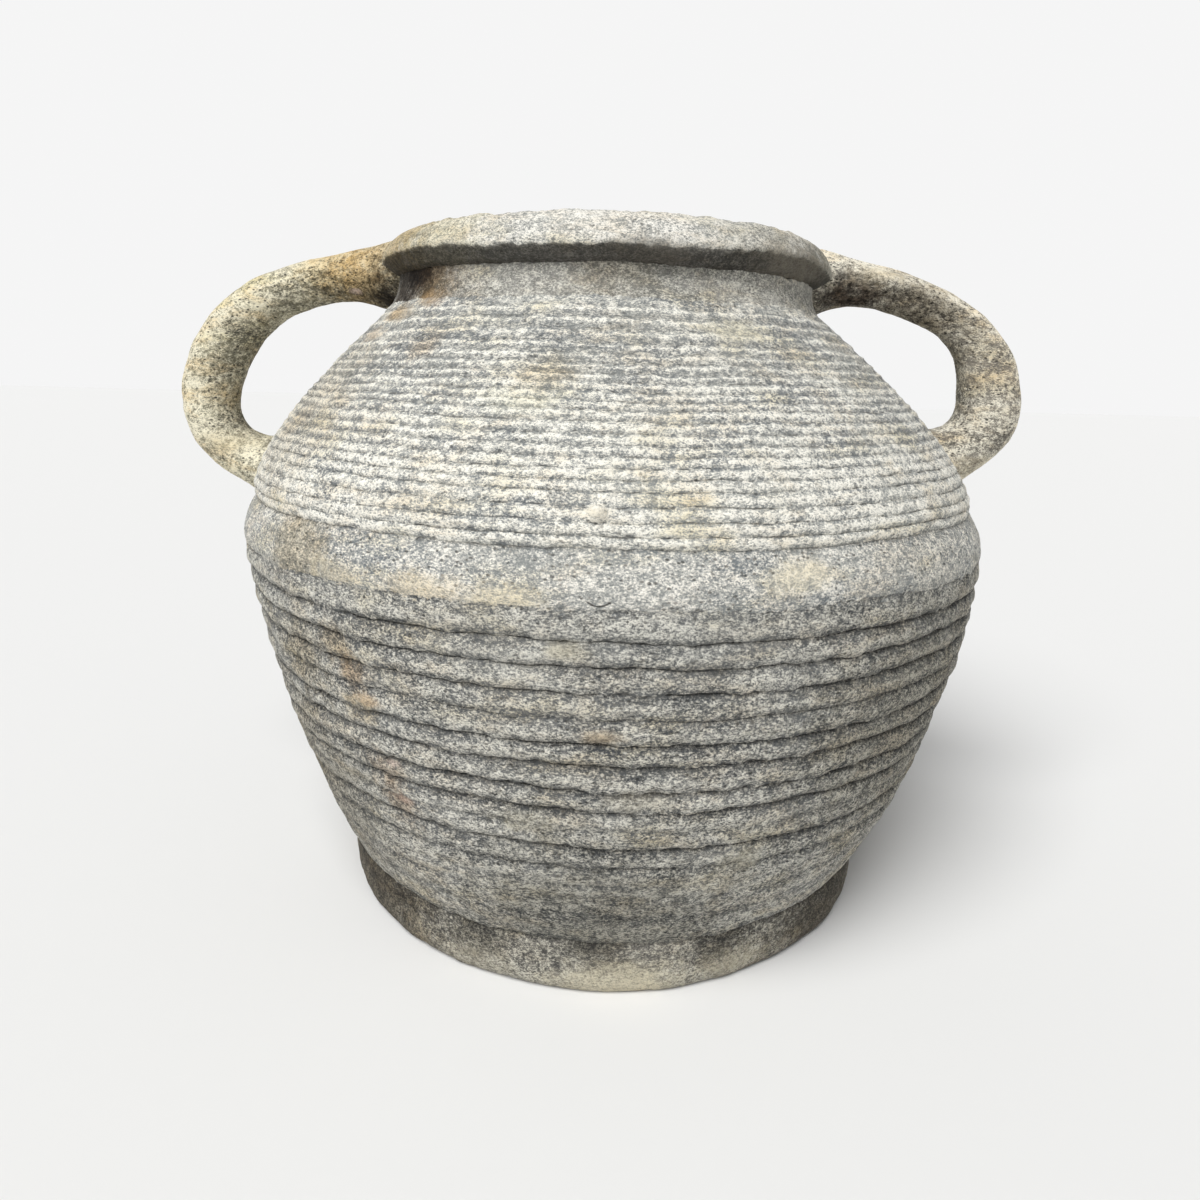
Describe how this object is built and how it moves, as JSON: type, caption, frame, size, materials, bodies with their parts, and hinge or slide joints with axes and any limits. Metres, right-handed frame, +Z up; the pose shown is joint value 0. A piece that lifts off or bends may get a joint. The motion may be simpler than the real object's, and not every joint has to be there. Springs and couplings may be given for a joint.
{
  "type": "two-handled cooking pot",
  "caption": "Round-bellied grey earthenware pot with ribbed lower wall, plain belly band, combed shoulder, short neck, rolled rim, foot ring and two loop handles.",
  "frame": {"origin": "on the pot's axis, in the plane that the foot ring rests on", "axes": "+Z up along the pot's axis, +X from the axis through the right handle, +Y to the back"},
  "size_m": [0.3351, 0.273, 0.2325],
  "materials": {
    "foot_clay": "unglazed, smooth, cream deposit at the lower edge",
    "floor_clay": "unglazed, plain",
    "lower_clay": "unglazed, sandy, finger ribbed",
    "band_clay": "unglazed, wiped smooth, cream deposit",
    "shoulder_clay": "unglazed, combed, cream deposit on the ridges",
    "neck_clay": "unglazed, smoke stained under the lip",
    "rim_clay": "unglazed, worn, cream deposit",
    "left_handle_clay": "unglazed, hand-smoothed, tan deposit",
    "right_handle_clay": "unglazed, hand-smoothed, beige deposit"
  },
  "bodies": {
    "root": {"foot_collar": "foot_clay", "floor_slab": "floor_clay", "lower_wall": "lower_clay", "belly_band": "band_clay", "shoulder_wall": "shoulder_clay", "neck_collar": "neck_clay", "rim_lip": "rim_clay", "handle_left": "left_handle_clay", "handle_right": "right_handle_clay"}
  },
  "joints": []
}
